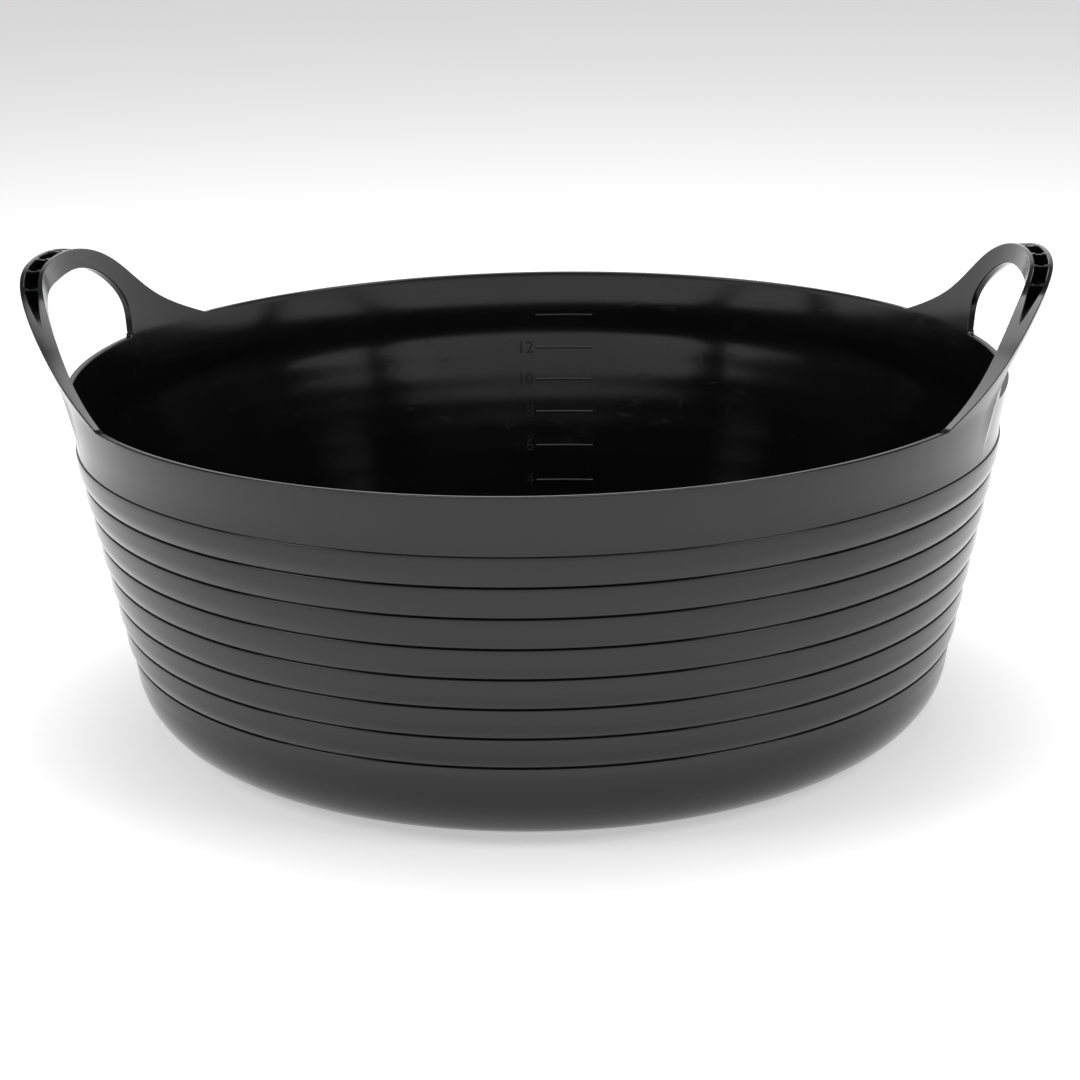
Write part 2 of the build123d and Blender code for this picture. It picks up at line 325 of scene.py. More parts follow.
def turn(pair, angle):
    """(radius, height) carried round the axis to an angle."""
    return (pair[0] * math.cos(angle), pair[0] * math.sin(angle), pair[1])


def lathe(name, runs, start=0.0, sweep=2 * math.pi, steps=LATHE_STEPS):
    """Solid swept round the axis from a closed section, given as smooth runs of points and normals."""
    skin = Skin()
    angles = [start + sweep * k / steps for k in range(steps + 1)]
    for points, normals in runs:
        rows = [[turn(p, a) for p in points] for a in angles]
        skin.patch(rows, [[turn(n, a) for n in normals] for a in angles])
    if sweep < 2 * math.pi:
        outline = [p for points, normals in runs for p in points[:-1]]
        for angle in (angles[0], angles[-1]):
            skin.face([skin.vertex(turn(p, angle)) for p in outline])
    return skin.build(name)


def flat_run(start, end):
    return smooth_run([start, end])


# ------------------------------------------------------------------ handle outlines in (y, rise)
def clamped_spline(points, first_way, last_way, samples=400):
    """Smooth curve through points with stated directions at its ends, as many sample points."""
    points = np.array(points, float)
    spans = np.hypot(*(points[1:] - points[:-1]).T)
    count = len(points)
    matrix = np.zeros((count, count))
    right = np.zeros((count, 2))
    matrix[0, 0] = matrix[-1, -1] = 1
    right[0] = np.array(first_way) / np.hypot(*first_way)
    right[-1] = np.array(last_way) / np.hypot(*last_way)
    for k in range(1, count - 1):
        matrix[k, k - 1 : k + 2] = spans[k], 2 * (spans[k - 1] + spans[k]), spans[k - 1]
        before = (points[k] - points[k - 1]) / spans[k - 1]
        after = (points[k + 1] - points[k]) / spans[k]
        right[k] = 3 * (spans[k] * before + spans[k - 1] * after)
    ways = np.linalg.solve(matrix, right)
    curve = []
    for k in range(count - 1):
        for t in np.linspace(0, 1, samples // (count - 1), endpoint=k == count - 2):
            a, b, h = points[k], points[k + 1], spans[k]
            curve.append(
                a * (1 + 2 * t) * (1 - t) ** 2
                + ways[k] * h * t * (1 - t) ** 2
                + b * t * t * (3 - 2 * t)
                - ways[k + 1] * h * t * t * (1 - t)
            )
    return np.array(curve)


class Curve:
    """A dense line in the (y, rise) plane, measured along its length."""

    def __init__(self, points):
        self.points = np.array(points)
        steps = np.hypot(*(self.points[1:] - self.points[:-1]).T)
        self.along = np.concatenate([[0], np.cumsum(steps)])
        self.length = self.along[-1]

    def at(self, distance):
        return np.array([np.interp(distance, self.along, self.points[:, k]) for k in (0, 1)])

    def way(self, distance):
        step = self.at(distance + 0.4) - self.at(distance - 0.4)
        return step / np.hypot(*step)

    def nearest(self, point):
        gaps = np.hypot(*(self.points - point).T)
        return self.along[int(np.argmin(gaps))]


def arch_curve():
    """Upper edge of a handle, from the middle of the arch to the rim."""
    span, rise = HANDLE_HALF_SPAN, HANDLE_RISE
    points = [(0, rise), (0.56 * span, 0.73 * rise), (0.75 * span, 0.34 * rise), (span, 0)]
    return Curve(clamped_spline(points, (1, 0), (1, -0.5)))


def hole_curve():
    """Edge of the hand hole, from its middle at the top round to half way through its lower corner."""
    top = HANDLE_RISE - GRIP_HEIGHT
    width = HOLE_HALF_WIDTH
    points = [(0, top), (0.84 * width, 0.78 * top), (width + HOLE_BULGE, 0.34 * top), (width, 0)]
    curve = list(clamped_spline(points, (1, 0), (-0.2, -1)))
    centre = (width - HOLE_CORNER, HOLE_CORNER - SADDLE_DROP)
    return Curve(curve + quarter_arc(centre, HOLE_CORNER, 0, -45, 8)[1:])


ARCH = arch_curve()
HOLE = hole_curve()


def swelling(rise, across):
    """Thickness gained over the wall at a rise above the rim and a share of the way to the upper edge."""
    softness = SWELL_BLEND * (1 - across) + 0.05
    soft_rise = softness * math.log1p(math.exp(min(rise / softness, 60)))
    if rise / softness > 60:
        soft_rise = rise
    return HANDLE_SWELL * (1 - math.exp(-((soft_rise / SWELL_RISE) ** 1.4)))


def flare(rise):
    """How far the hand hole's outer edge stands beyond its inner edge."""
    share = min(max(rise / (HANDLE_RISE - GRIP_HEIGHT), 0), 1)
    return FLARE_RIM + (FLARE_TOP - FLARE_RIM) * share**0.8


def gain(rise, u, width, across_width):
    """Thickness over the wall at a distance u from the hand hole, rounded over at the outer edge."""
    share = min(max((u - width) / (across_width - width), 0), 1)
    full = swelling(rise, share)
    start = swelling(rise, 0)
    drop = min(max(-rise / RIDGE_DROP, 0), 1)
    lip = 1 - drop * drop * (3 - 2 * drop) if rise < 0 else math.exp(-((rise / 14) ** 2))
    ridge = RIDGE_HEIGHT * lip * max(1 - abs(u - width) / 4.5, 0)
    slanted = start * max(u, 0) / width
    round_over = min(0.8, 0.3 * start + 1e-4)
    low, high = min(slanted, full), max(slanted, full)
    return max(low - round_over * math.log1p(math.exp(-(high - low) / round_over)), 0) + ridge


def column_places(width, across_width):
    """Distances from the hand hole of the face's columns, close together at the flare's edge."""
    crease = min(1.3, 0.6 * (width - EDGE))
    slant = list(np.linspace(EDGE, width - crease, 4))
    fold = [width - 0.5 * crease, width, width + 0.5 * crease, width + crease]
    return slant + fold + list(np.linspace(width + crease, across_width - EDGE, 10))[1:]


def place(y, height, radius):
    """Point of the handle or its rim section. Past the arch's foot, columns fan out to the section's end."""
    end = math.radians(360 / LATHE_STEPS * SECTOR_STEPS)
    over = abs(y) - HANDLE_HALF_SPAN
    if over > 0:
        share = over / (RIM_RADIUS * math.sin(end) - HANDLE_HALF_SPAN)
        y = math.copysign(HANDLE_HALF_SPAN + share * (radius * math.sin(end) - HANDLE_HALF_SPAN), y)
    return (math.sqrt(radius**2 - y**2), y, height)


def pocket_stations(start, end, square_end):
    """Stations of one channel pocket: distance along the arch, width and depth of the channel.

    A pocket with no square end tapers to a tip."""
    corner = POCKET_CORNER
    stations = [(start, CHANNEL_WIDTH - 2 * corner, RIB_DEPTH)]
    for angle in (0, 30, 60, 90):
        turned = math.radians(angle)
        inset = corner * (1 - math.cos(turned))
        width = CHANNEL_WIDTH - 2 * corner * (1 - math.sin(turned))
        stations.append((start + RIB_DRAFT + inset, width, CHANNEL_DEPTH))
    if square_end:
        near = stations[-1][0]
        mirrored = [(start + end - at, width, depth) for at, width, depth in reversed(stations)]
        middle = np.linspace(near, mirrored[0][0], 5)[1:-1]
        return stations + [(at, CHANNEL_WIDTH, CHANNEL_DEPTH) for at in middle] + mirrored
    near = stations[-1][0]
    for share in np.linspace(0, 1, 9)[1:]:
        at = near + (end - near) * share
        stations.append((at, CHANNEL_WIDTH * (1 - share) ** 0.9, CHANNEL_DEPTH * (1 - 0.5 * share)))
    return stations


def channel_stations():
    """Every station of half an arch, from its middle down to the rim."""
    stations = [(0.0, CHANNEL_WIDTH - 2 * POCKET_CORNER, RIB_DEPTH)]
    for number in range(POCKETS):
        first = number * RIB_PITCH + RIB_HALF
        stations += pocket_stations(first, (number + 1) * RIB_PITCH - RIB_HALF, True)
    stations += pocket_stations(POCKETS * RIB_PITCH + RIB_HALF, CHANNEL_END, False)
    steps = int((ARCH.length - CHANNEL_END) / STATION_GAP)
    stations += [(at, 0.0, 0.0) for at in np.linspace(CHANNEL_END, ARCH.length, steps + 1)[1:]]
    return stations


class Station:
    """A cross-section of the arch: from the hand hole's edge to the arch's upper edge."""

    def __init__(self, distance, channel_width, channel_depth, side):
        self.top = ARCH.at(distance)
        reach = HOLE.nearest(ARCH.at(CHANNEL_END))
        if distance <= CHANNEL_END:
            hole_at = HOLE.nearest(self.top)
        else:
            share = (distance - CHANNEL_END) / (ARCH.length - CHANNEL_END)
            hole_at = reach + (HOLE.length - reach) * share
        self.low = HOLE.at(hole_at)
        way = ARCH.way(distance)
        out = np.array([-way[1], way[0]])
        if distance >= ARCH.length - 1e-6:
            out = out + np.array([0, 1])
        self.top_out = out / np.hypot(*out)
        low_way = HOLE.way(hole_at)
        self.low_in = np.array([-low_way[1], low_way[0]])
        if distance == 0:
            self.top_out = self.low_in = np.array([0, 1])
        self.low_face = self.low + EDGE * self.low_in
        self.top_face = self.top - EDGE * self.top_out
        self.channel = (channel_width, channel_depth)
        self.side = side
        self.width = float(np.hypot(*(self.top - self.low)))

    def point(self, at, radius):
        return place(self.side * at[0], RIM_TOP + at[1], radius)

    def columns(self):
        """(y, rise, u) of every face column."""
        flared = flare((self.low[1] + self.top[1]) / 2 if self.width < 20 else self.low[1])
        flared = min(flared, 0.45 * self.width)
        spots = column_places(flared, self.width)
        shares = (np.array(spots) - EDGE) / (self.width - 2 * EDGE)
        line = [self.low_face + s * (self.top_face - self.low_face) for s in shares]
        return [(at, u, flared) for at, u in zip(line, spots)]

    def outer(self, at, u, flared):
        rise = float(at[1])
        return outer_radius(RIM_TOP + rise) + gain(rise, u, flared, self.width)

    def inner_row(self):
        return [self.point(at, inner_radius(RIM_TOP + at[1])) for at, u, f in self.columns()]

    def outer_row(self):
        return [self.point(at, self.outer(at, u, f)) for at, u, f in self.columns()]

    def band(self, edge, inwards, section):
        """Points over an edge: section gives (distance in from the edge, thickness from the inner face)."""
        row = []
        for inset, depth in section:
            at = edge + inset * inwards
            row.append(self.point(at, inner_radius(RIM_TOP + at[1]) + depth))
        return row

    def hole_band(self):
        at, u, flared = self.columns()[0]
        thick = self.outer(at, u, flared) - inner_radius(RIM_TOP + at[1])
        section = bend((EDGE, 0), (0, 0), (0, EDGE))
        section += bend((0, WALL - EDGE), (0, WALL), (EDGE, thick))
        row = self.band(self.low, self.low_in, section)
        return [self.inner_row()[0]] + row[1:-1] + [self.outer_row()[0]]

    def top_band(self):
        at, u, flared = self.columns()[-1]
        thick = self.outer(at, u, flared) - inner_radius(RIM_TOP + at[1])
        row = self.band(self.top, -self.top_out, top_section(thick, *self.channel))
        return [self.inner_row()[-1]] + row[1:-1] + [self.outer_row()[-1]]


def top_section(thick, channel_width=0.0, channel_depth=0.0):
    """Section over the upper edge: both edges rounded, and the channel between the flanges, if any."""
    middle = thick / 2
    channel = [(0, middle)] * 6
    if channel_width > 0:
        low, high = middle - channel_width / 2, middle + channel_width / 2
        lip = min(CHANNEL_LIP, channel_width / 4, channel_depth / 2)
        channel = [(0, low - lip), (lip, low), (channel_depth, low)]
        channel += [(channel_depth, high), (lip, high), (0, high + lip)]
    section = bend((EDGE, 0), (0, 0), (0, EDGE)) + channel
    return section + bend((0, thick - EDGE), (0, thick), (EDGE, thick))


def whole_arch():
    """Stations over the whole arch, from the foot on -Y to the foot on +Y."""
    half = channel_stations()
    left = [Station(*spec, -1) for spec in reversed(half)]
    return left + [Station(*spec, 1) for spec in half[1:]]


def saddle_columns():
    """(edge point, direction into the wall) along the bottom of the hand hole, with half of each corner."""
    straight = HOLE_HALF_WIDTH - HOLE_CORNER
    centre = np.array([straight, HOLE_CORNER - SADDLE_DROP])
    half = [(np.array([y, -SADDLE_DROP]), np.array([0, -1])) for y in np.linspace(0, straight, 15)]
    for at in quarter_arc(centre, HOLE_CORNER, -90, -45, 4)[1:]:
        half.append((at, (at - centre) / HOLE_CORNER))
    mirrored = [(at * [-1, 1], way * [-1, 1]) for at, way in reversed(half[1:])]
    return mirrored + half


def rim_columns():
    """y of the rim section's columns past an arch's foot."""
    end = RIM_RADIUS * math.sin(math.radians(360 / LATHE_STEPS * SECTOR_STEPS))
    return list(np.linspace(HANDLE_HALF_SPAN, end, 6))


def column_down(y, rise, extra):
    """Inner and outer points of one column, from the face's top row to the bottom of the rim band."""
    heights = np.linspace(RIM_TOP + rise, RIM_BOTTOM, RIM_ROWS + 1)
    inner = [place(y, z, inner_radius(z)) for z in heights]
    outer = [place(y, z, outer_radius(z) + extra(z - RIM_TOP)) for z in heights]
    return inner, outer


def handle_skin():
    """Rim section on +X with its hand hole and the arched handle over it, as one closed skin."""
    skin = Skin()
    arch = whole_arch()
    skin.patch([s.inner_row() for s in arch])
    skin.patch([s.outer_row() for s in arch])
    skin.patch([s.hole_band() for s in arch])
    skin.patch([s.top_band() for s in arch])

    columns = []
    rim_face = -EDGE

    def plain(rise):
        return 0.0

    def leg_column(side, leg, at, u, flared):
        def extra(rise):
            return gain(rise, u, flared, leg.width)

        return column_down(side * at[0], at[1], extra)

    for y in reversed(rim_columns()[1:]):
        columns.append(column_down(-y, rim_face, plain))
    for at, u, flared in reversed(arch[0].columns()):
        columns.append(leg_column(-1, arch[0], at, u, flared))
    saddle = saddle_columns()
    for edge, way in saddle[1:-1]:
        at = edge + EDGE * way
        columns.append(column_down(at[0], at[1], plain))
    for at, u, flared in arch[-1].columns():
        columns.append(leg_column(1, arch[-1], at, u, flared))
    for y in rim_columns()[1:]:
        columns.append(column_down(y, rim_face, plain))
    skin.patch([inner for inner, outer in columns])
    skin.patch([outer for inner, outer in columns])
    skin.patch([[inner[-1], outer[-1]] for inner, outer in columns])
    for inner, outer in (columns[0], columns[-1]):
        skin.patch([inner, outer])

    saddle_rows = [arch[0].hole_band()]
    for edge, way in saddle[1:-1]:
        section = bend((EDGE, 0), (0, 0), (0, EDGE)) + bend((0, WALL - EDGE), (0, WALL), (EDGE, WALL))
        saddle_rows.append(edge_row(edge, way, section))
    saddle_rows.append(arch[-1].hole_band())
    skin.patch(saddle_rows)

    for side, foot in ((-1, arch[0]), (1, arch[-1])):
        rows = [foot.top_band()]
        for y in rim_columns()[1:]:
            row = edge_row(np.array([side * y, 0.0]), np.array([0, -1]), top_section(WALL))
            rows.append(row)
        skin.patch(rows)
    return skin


def edge_row(edge, way, section):
    """Points over a plain edge of the wall, ending on the wall's own faces."""
    row = []
    for inset, depth in section:
        at = edge + inset * way
        height = RIM_TOP + at[1]
        radius = inner_radius(height) + depth
        if depth == WALL:
            radius = outer_radius(height)
        row.append(place(at[0], height, radius))
    return row


def mirror_x(skin):
    """The same skin on the other side of the tub."""
    other = Skin()
    other.points = [[-x, y, z] for x, y, z in skin.points]
    other.faces = [list(reversed(face)) for face in skin.faces]
    return other


def at_seam(point):
    """True on the end planes and the bottom edge of a handle's rim section."""
    end = math.radians(360 / LATHE_STEPS * SECTOR_STEPS)
    angle = math.atan2(abs(point[1]), abs(point[0]))
    return abs(angle - end) < 1e-4 or point[2] < RIM_BOTTOM * MM + 1e-6


# ------------------------------------------------------------------ materials
def ramp(nodes, links, source, stops):
    """Colour ramp from one value, as (position, grey) stops."""
    node = nodes.new("ShaderNodeValToRGB")
    links.new(source, node.inputs["Fac"])
    elements = node.color_ramp.elements
    elements[0].position, elements[1].position = stops[0][0], stops[-1][0]
    for element, (_, grey) in ((elements[0], stops[0]), (elements[1], stops[-1])):
        element.color = (grey, grey, grey, 1)
    for position, grey in stops[1:-1]:
        element = elements.new(position)
        element.color = (grey, grey, grey, 1)
    return node.outputs["Color"]


def noise(nodes, links, scale, stretch=(1, 1, 1), detail=3.0):
    """Noise in the tub's own coordinates, in features per metre, stretched along axes."""
    place_node = nodes.new("ShaderNodeTexCoord")
    mapping = nodes.new("ShaderNodeMapping")
    mapping.inputs["Scale"].default_value = stretch
    links.new(place_node.outputs["Object"], mapping.inputs["Vector"])
    texture = nodes.new("ShaderNodeTexNoise")
    texture.inputs["Scale"].default_value = scale
    texture.inputs["Detail"].default_value = detail
    links.new(mapping.outputs["Vector"], texture.inputs["Vector"])
    return texture.outputs["Fac"]


def maths(nodes, links, operation, first, second):
    node = nodes.new("ShaderNodeMath")
    node.operation = operation
    for socket, value in zip(node.inputs, (first, second)):
        if isinstance(value, float):
            socket.default_value = value
        else:
            links.new(value, socket)
    return node.outputs["Value"]


def black_plastic(name, dark, worn, rough_low, rough_high, grain):
    """Satin black polyethylene: cloudy gloss, fine upright scratches, scuffs and a faint moulded grain."""
    material = bpy.data.materials.new(name)
    material.use_nodes = True
    nodes, links = material.node_tree.nodes, material.node_tree.links
    shader = nodes["Principled BSDF"]
    clouds = noise(nodes, links, 14.0, detail=4.0)
    grain_noise = noise(nodes, links, 900.0, detail=2.0)
    scratches = ramp(nodes, links, noise(nodes, links, 260.0, (1, 1, 0.035), 2.0), [(0.68, 0), (0.76, 1)])
    scratch_areas = ramp(nodes, links, noise(nodes, links, 9.0, detail=2.0), [(0.54, 0), (0.66, 1)])
    scratches = maths(nodes, links, "MULTIPLY", scratches, scratch_areas)
    scuffs = ramp(nodes, links, noise(nodes, links, 70.0, (1, 1, 2.5), 6.0), [(0.63, 0), (0.72, 1)])
    wear = maths(nodes, links, "MAXIMUM", scratches, maths(nodes, links, "MULTIPLY", scuffs, 0.5))

    tint = nodes.new("ShaderNodeMix")
    tint.data_type = "RGBA"
    tint.inputs["A"].default_value = (*dark, 1)
    tint.inputs["B"].default_value = (*worn, 1)
    amount = maths(nodes, links, "MULTIPLY", clouds, 0.15)
    share = maths(nodes, links, "ADD", amount, maths(nodes, links, "MULTIPLY", wear, 0.15))
    links.new(share, tint.inputs["Factor"])
    links.new(tint.outputs["Result"], shader.inputs["Base Color"])

    gloss = nodes.new("ShaderNodeMapRange")
    gloss.inputs["From Min"].default_value = 0.3
    gloss.inputs["From Max"].default_value = 0.7
    gloss.inputs["To Min"].default_value = rough_low
    gloss.inputs["To Max"].default_value = rough_high
    links.new(clouds, gloss.inputs["Value"])
    rough = maths(nodes, links, "ADD", gloss.outputs["Result"], maths(nodes, links, "MULTIPLY", wear, 0.12))
    links.new(rough, shader.inputs["Roughness"])

    height = maths(nodes, links, "ADD", maths(nodes, links, "MULTIPLY", grain_noise, grain), clouds)
    height = maths(nodes, links, "SUBTRACT", height, maths(nodes, links, "MULTIPLY", wear, 0.15))
    bump = nodes.new("ShaderNodeBump")
    bump.inputs["Strength"].default_value = 0.25
    bump.inputs["Distance"].default_value = 0.0004
    links.new(height, bump.inputs["Height"])
    links.new(bump.outputs["Normal"], shader.inputs["Normal"])
    shader.inputs["IOR"].default_value = 1.5
    return material


# ------------------------------------------------------------------ the tub's wall, base and floor
def rim_arc(name, start):
    """Rim band between the two handles' rim sections."""
    heights = np.linspace(RIM_TOP - EDGE, RIM_BOTTOM, RIM_ROWS + 1)
    up = [(inner_radius(z), z) for z in reversed(heights)]
    over = [edge_row(np.array([0.0, 0.0]), np.array([0, -1]), top_section(WALL))]
    crest = [(math.hypot(x, y), z) for x, y, z in over[0]]
    middle = []
    for point in crest[1:-1]:
        if not middle or np.hypot(*np.subtract(point, middle[-1])) > 1e-6:
            middle.append(point)
    down = [(outer_radius(z), z) for z in heights]
    side = smooth_run(up + middle + down)
    bottom = flat_run(down[-1], up[0])
    end = 2 * math.pi / LATHE_STEPS * SECTOR_STEPS
    return lathe(name, [side, bottom], start + end, math.pi - 2 * end, LATHE_STEPS // 2 - 2 * SECTOR_STEPS)


def wall_band(number):
    """One stepped band of the wall."""
    outside = smooth_run(band_side(number)[1:])
    shelf = flat_run(band_side(number)[0], band_side(number)[1])
    low, high = LEDGE_Z[number + 1], LEDGE_Z[number]
    inside = inside_run(low, high, 12)
    bottom = flat_run(outside[0][-1], inside[0][0])
    top = flat_run(inside[0][-1], shelf[0][0])
    return lathe(f"stepped_band_{number + 1}", [top, shelf, outside, bottom, inside])


def base_pieces():
    """Lower wall, rounded corner and floor: one smooth outside and inside, cut at the CAD's seams."""
    outside = smooth_run(base_side()[1:])
    shelf = flat_run(base_side()[0], base_side()[1])
    radius = BASE_STRAIGHT_TO - WALL
    seam = math.degrees(math.asin((BASE_STRAIGHT_TO - CORNER_SEAM) / radius))
    centre = (FOOT_RADIUS, BASE_STRAIGHT_TO)
    ring = FOOT_RADIUS - FOOT_WIDTH
    slope_foot = ring - RECESS_SLOPE
    floor = [(r, FLOOR_TOP) for r in (0, 60, slope_foot - 1, slope_foot)]
    floor += [(ring, WALL), (ring + 1, WALL)]
    corner = quarter_arc(centre, radius, -90, -seam, 10) + quarter_arc(centre, radius, -seam, 0, 10)[1:]
    corner_top = corner[-1][0] - inner_radius(BASE_STRAIGHT_TO)
    upper = [(inner_radius(z), z) for z in np.linspace(BASE_STRAIGHT_TO, LEDGE_Z[-1], 7)[1:]]
    corner = [(p[0] - corner_top * p[1] / BASE_STRAIGHT_TO, p[1]) for p in corner]
    inside = smooth_run(floor + corner + upper)
    heights_out = [p[1] for p in outside[0]]
    cut = min(range(len(heights_out) // 2 + 8), key=lambda k: abs(heights_out[k] - CORNER_SEAM))
    foot = min(range(len(outside[0])), key=lambda k: np.hypot(*(outside[0][k] - [FOOT_RADIUS, 0])))
    inner_foot = len(floor)
    inner_cut = inner_foot + 10
    last = len(inside[0]) - 1
    wall_inside = part_of(inside, inner_cut, last)
    top = flat_run(inside[0][-1], shelf[0][0])
    wall_outside = part_of(outside, 0, cut)
    seam_run = flat_run(wall_outside[0][-1], wall_inside[0][0])
    lower = lathe("lower_wall_shell", [top, shelf, wall_outside, seam_run, wall_inside])
    corner_outside = part_of(outside, cut, foot)
    corner_inside = part_of(inside, inner_foot, inner_cut)
    upper_end = flat_run(corner_inside[0][-1], corner_outside[0][0])
    lower_end = flat_run(corner_outside[0][-1], corner_inside[0][0])
    round_corner = lathe("base_corner_shell", [upper_end, corner_outside, lower_end, corner_inside])
    floor_outside = part_of(outside, foot, len(outside[0]) - 1)
    floor_inside = part_of(inside, 0, inner_foot)
    rim = flat_run(floor_inside[0][-1], floor_outside[0][0])
    floor_piece = lathe("floor_shell", [rim, floor_outside, floor_inside])
    return lower, round_corner, floor_piece


def ride_as(piece, body, slot, material, *nodes):
    """Puts a finished piece on its body with its material and in place of its CAD nodes. The slot is not
    used.
    """
    piece.data.materials.append(material)
    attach(piece, body)
    if nodes:
        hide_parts(*nodes)


worn_black = (0.012, 0.012, 0.013)
mould_black = (0.0024, 0.0025, 0.0028)
tub_material = black_plastic("tub_black", mould_black, worn_black, 0.1, 0.17, 0.02)
handle_material = black_plastic("handle_black", (0.0025, 0.0026, 0.003), worn_black, 0.11, 0.18, 0.02)
mark_material = black_plastic("mark_black", mould_black, worn_black, 0.3, 0.42, 0.02)

for arc_name, arc_start in (("rim_back", 0.0), ("rim_front", math.pi)):
    ride_as(rim_arc(arc_name, arc_start), "tub", "tub_plastic", tub_material, "rim_band")
for band in range(BANDS):
    ride_as(wall_band(band), "tub", "tub_plastic", tub_material, f"wall_band_{band + 1}")
for piece, node in zip(base_pieces(), ("lower_wall", "base_corner", "floor_disc")):
    ride_as(piece, "tub", "tub_plastic", tub_material, node)

# ------------------------------------------------------------------ handles with their rim sections
right_skin = handle_skin()
for side_name, skin, sign in (("right", right_skin, 1), ("left", mirror_x(right_skin), -1)):
    piece = skin.build(f"{side_name}_rim_and_handle", seams=(at_seam,))
    piece.data.materials.append(handle_material)
    pieces_of_handle = ("inner_flange", "outer_flange", "grip_web", "ribs", "leg_cores", "roots")
    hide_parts("rim_band", *[f"{side_name}_handle_{part}" for part in pieces_of_handle])
    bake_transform(piece)


# ------------------------------------------------------------------ fill marks and the gate mark
MARK_RELIEF = 0.3
MARK_ROOT = 0.3             # how far a mark reaches into the wall
MARK_EDGE = 0.22
DIGIT_HEIGHT = 6.0
MARK_GAP = 5.0              # marks further apart than this in height are separate ones
FIRST_FILL = 4              # litres at the lowest figure, and litres from one figure to the next
FILL_STEP = 2


def mark_heights(node_name):
    """Middle heights of the marks in a CAD node, from the lowest up, read from its points."""
    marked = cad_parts[node_name]
    heights = sorted((marked.matrix_world @ vertex.co).z / MM for vertex in marked.data.vertices)
    groups = [[heights[0]]]
    for height in heights[1:]:
        if height - groups[-1][-1] > MARK_GAP:
            groups.append([])
        groups[-1].append(height)
    return [(group[0] + group[-1]) / 2 for group in groups]


def on_wall(across, height, relief):
    """Point on the back of the inside wall, at a distance across and a relief above the surface."""
    radius = inner_radius(height) - relief
    angle = across / inner_radius(height)
    return (radius * math.sin(angle), radius * math.cos(angle), height)


def mark_line(skin, left, right, height, half):
    """Low raised bar with bevelled edges along the wall."""
    section = [(-half, -MARK_ROOT), (-half, 0), (-half + MARK_EDGE, MARK_RELIEF)]
    section += [(half - MARK_EDGE, MARK_RELIEF), (half, 0), (half, -MARK_ROOT), (-half, -MARK_ROOT)]
    stations = [left, left + MARK_EDGE] + list(np.linspace(left + 2, right - 2, 8))
    stations += [right - MARK_EDGE, right]
    rows = []
    for across in stations:
        ceiling = 0 if across in (left, right) else MARK_RELIEF
        rows.append([on_wall(across, height + dz, min(relief, ceiling)) for dz, relief in section])
    skin.patch(rows)
    for row in (rows[0], rows[-1]):
        skin.face([skin.vertex(point) for point in row[:-1]])


def numeral(number, right, height):
    """Raised figures whose right edge and middle height are given, wrapped on the wall."""
    text = bpy.data.curves.new(f"figures_{number}", "FONT")
    text.body = str(number)
    text.size = DIGIT_HEIGHT / 0.7
    text.align_x, text.align_y = "RIGHT", "CENTER"
    text.extrude = (MARK_RELIEF + MARK_ROOT) / 2 - 0.06
    text.bevel_depth = 0.06
    flat = bpy.data.objects.new(f"figures_{number}", text)
    bpy.context.scene.collection.objects.link(flat)
    bpy.context.view_layer.update()
    mesh = bpy.data.meshes.new_from_object(flat)
    bpy.data.objects.remove(flat)
    for vertex in mesh.vertices:
        lift = vertex.co.z + (MARK_RELIEF - MARK_ROOT) / 2
        vertex.co = Vector(on_wall(right + vertex.co.x, height + vertex.co.y, lift)) * MM
    piece = bpy.data.objects.new(f"fill_figure_{number}", mesh)
    bpy.context.scene.collection.objects.link(piece)
    return piece


marks = Skin()
line_low, line_high = box_mm("graduation_lines")
figure_high = box_mm("graduation_numerals")[1]
for line_height in mark_heights("graduation_lines"):
    mark_line(marks, line_low[0], line_high[0], line_height, 0.55)
for count, figure_height in enumerate(mark_heights("graduation_numerals")):
    figures = numeral(FIRST_FILL + FILL_STEP * count, figure_high[0], figure_height)
    ride_as(figures, "tub", "graduation_plastic", mark_material, "graduation_numerals")
ride_as(marks.build("fill_lines"), "tub", "graduation_plastic", mark_material, "graduation_lines")
gate_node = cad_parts["gate_mark"]
gate_node.data.materials.clear()
gate_node.data.materials.append(tub_material)


# ------------------------------------------------------------------ stage, light and camera
def soft_light(name, place_at, aim, width, height, power, colour):
    lamp = bpy.data.lights.new(name, "AREA")
    lamp.shape = "RECTANGLE"
    lamp.size, lamp.size_y = width, height
    lamp.energy = power
    lamp.color = colour
    light = bpy.data.objects.new(name, lamp)
    bpy.context.scene.collection.objects.link(light)
    light.location = place_at
    light.rotation_euler = (Vector(place_at) - Vector(aim)).to_track_quat("Z", "Y").to_euler()
    return light


def plain_material(name, colour, roughness, glow=0.0):
    material = bpy.data.materials.new(name)
    material.use_nodes = True
    shader = material.node_tree.nodes["Principled BSDF"]
    shader.inputs["Base Color"].default_value = (*colour, 1)
    shader.inputs["Roughness"].default_value = roughness
    shader.inputs["Emission Color"].default_value = (1, 1, 1, 1)
    shader.inputs["Emission Strength"].default_value = glow
    return material


def stage_mesh(name, points, faces, material):
    mesh = bpy.data.meshes.new(name)
    mesh.from_pydata(points, [], faces)
    mesh.materials.append(material)
    piece = bpy.data.objects.new(name, mesh)
    bpy.context.scene.collection.objects.link(piece)
    return piece


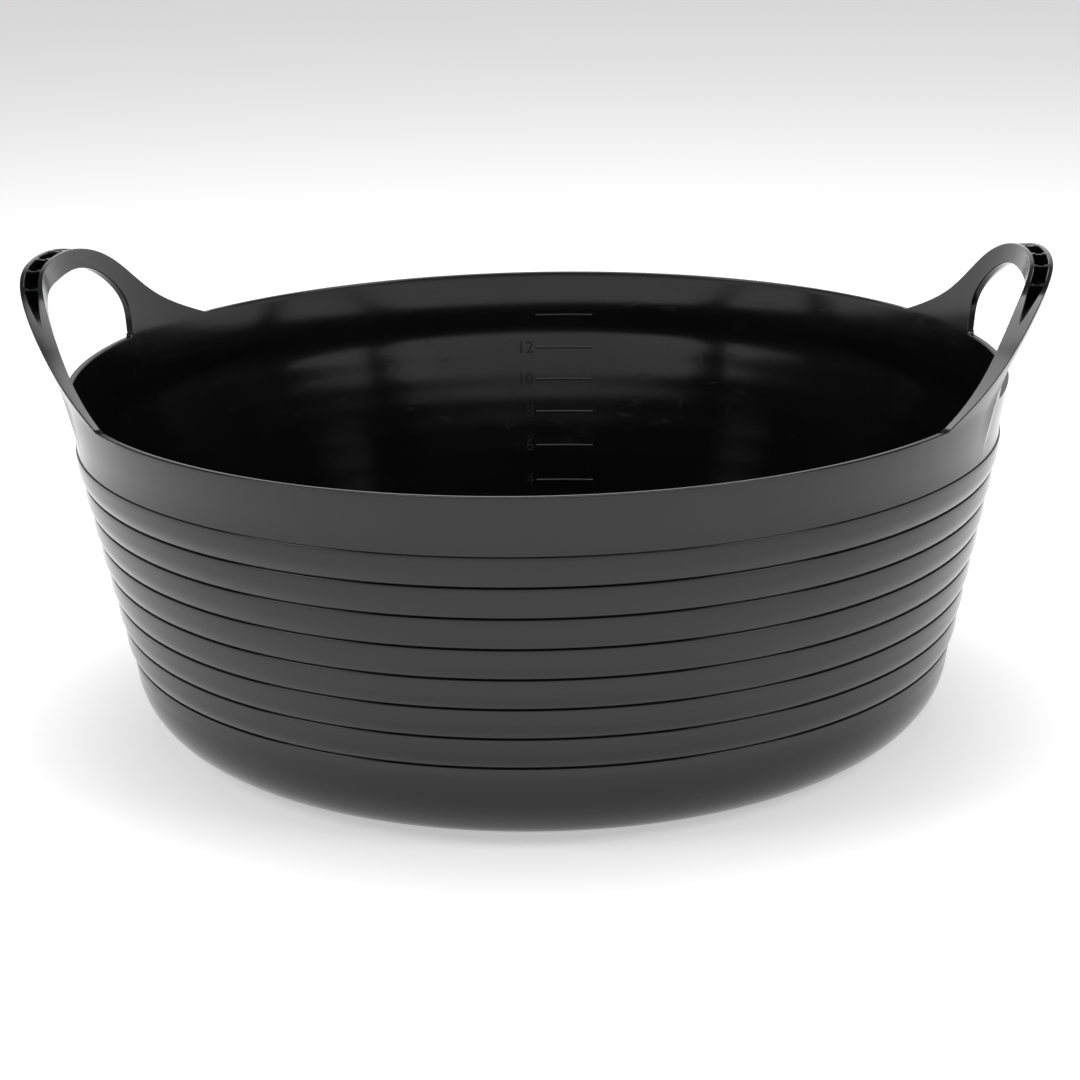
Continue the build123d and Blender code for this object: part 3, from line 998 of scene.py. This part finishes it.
def pale_floor():
    """Plain pale floor, lit and mirrored like any surface."""
    reach = 6.0
    corners = [(-reach, -reach, 0), (reach, -reach, 0), (reach, reach, 0), (-reach, reach, 0)]
    pale = plain_material("pale_floor", (0.9, 0.9, 0.9), 0.9, 0.45)
    stage_mesh("floor", corners, [(0, 1, 2, 3)], pale)


def soft_world():
    """Even studio surroundings: white round the horizon and below, dim overhead, the same on every side."""
    world = bpy.data.worlds.new("studio")
    world.use_nodes = True
    nodes, links = world.node_tree.nodes, world.node_tree.links
    direction = nodes.new("ShaderNodeTexCoord")
    parts = nodes.new("ShaderNodeSeparateXYZ")
    links.new(direction.outputs["Generated"], parts.inputs["Vector"])
    shade = ramp(nodes, links, parts.outputs["Z"], [(0.12, 1.0), (0.4, 0.12)])
    links.new(shade, nodes["Background"].inputs["Color"])
    bpy.context.scene.world = world


CAMERA_AZIMUTH = 4.2


def add_camera():
    """Camera at a product photograph's distance, a little above the rim."""
    azimuth, elevation = math.radians(CAMERA_AZIMUTH), 0.2378257
    distance = 1.19954
    tilt, roll = 0.0653612, 0.0200944
    toward = Vector((
        math.sin(azimuth) * math.cos(elevation),
        -math.cos(azimuth) * math.cos(elevation),
        math.sin(elevation),
    ))
    look = toward.to_track_quat("Z", "Y").to_matrix()
    turned = Matrix.Rotation(roll, 3, "Z") @ Matrix.Rotation(tilt, 3, "X")
    camera_data = bpy.data.cameras.new("camera")
    camera_data.lens = 88.77
    camera_data.sensor_width = 36.0
    camera = bpy.data.objects.new("camera", camera_data)
    bpy.context.scene.collection.objects.link(camera)
    matrix = (look @ turned.transposed()).to_4x4()
    matrix.translation = Vector((0, 0, RIM_TOP * MM)) + toward * distance
    camera.matrix_world = matrix
    bpy.context.scene.camera = camera


pale_floor()
add_camera()
soft_world()
soft_light("overhead", (0, 0.2, 1.6), (0, 0, 0.1), 1.2, 1.2, 20, (1.0, 0.99, 1.0))
soft_light("soft_left", (-1.6, -0.8, 1.5), (0, 0, 0.1), 0.9, 0.9, 12, (1.0, 0.99, 1.0))
soft_light("soft_right", (1.6, -0.8, 1.5), (0, 0, 0.1), 0.9, 0.9, 12, (1.0, 0.99, 1.0))
bpy.context.scene.view_settings.view_transform = "Standard"
